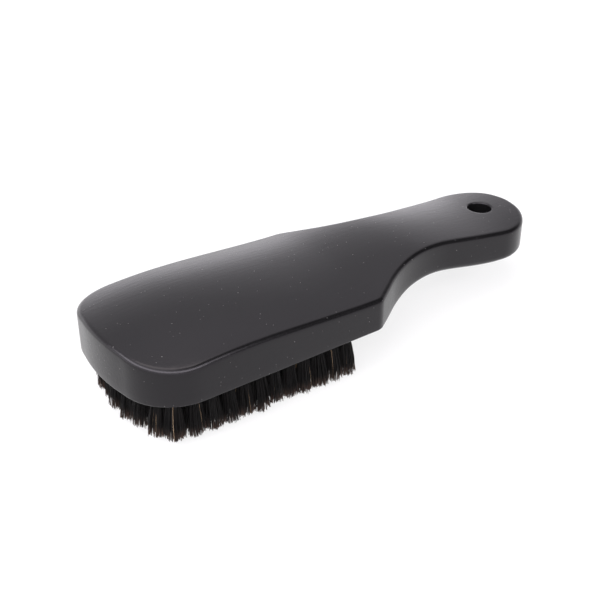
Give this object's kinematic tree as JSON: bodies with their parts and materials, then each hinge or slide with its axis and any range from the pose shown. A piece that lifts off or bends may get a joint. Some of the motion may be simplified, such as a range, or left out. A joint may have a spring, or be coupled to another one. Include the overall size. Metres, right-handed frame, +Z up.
{
  "type": "fade brush",
  "caption": "Barber's fade brush: a flat paddle-shaped lacquered wooden body with a short waisted handle, a hanging hole and tufts of short natural hair set under the head.",
  "frame": {"origin": "on the surface that the hair tips stand on, under the middle of the brush's box", "axes": "+Z up from the hair tips to the top of the body, -X towards the head end, +X towards the handle end, Y across the head"},
  "size_m": [0.165, 0.0566, 0.0298],
  "materials": {
    "black_lacquer": "satin black lacquer over close-grained wood",
    "hair": "black-brown natural hair",
    "anchor_wire": "plain flat wire"
  },
  "bodies": {
    "root": {"body": "black_lacquer", "bristle_row_1": "hair", "bristle_row_2": "hair", "bristle_row_3": "hair", "bristle_row_4": "hair", "bristle_row_5": "hair", "bristle_row_6": "hair", "bristle_row_7": "hair", "bristle_row_8": "hair", "bristle_row_9": "hair", "bristle_row_10": "hair", "bristle_row_11": "hair", "bristle_row_12": "hair", "anchor_row_1": "anchor_wire", "anchor_row_2": "anchor_wire", "anchor_row_3": "anchor_wire", "anchor_row_4": "anchor_wire", "anchor_row_5": "anchor_wire", "anchor_row_6": "anchor_wire", "anchor_row_7": "anchor_wire", "anchor_row_8": "anchor_wire", "anchor_row_9": "anchor_wire", "anchor_row_10": "anchor_wire", "anchor_row_11": "anchor_wire", "anchor_row_12": "anchor_wire"}
  },
  "joints": []
}
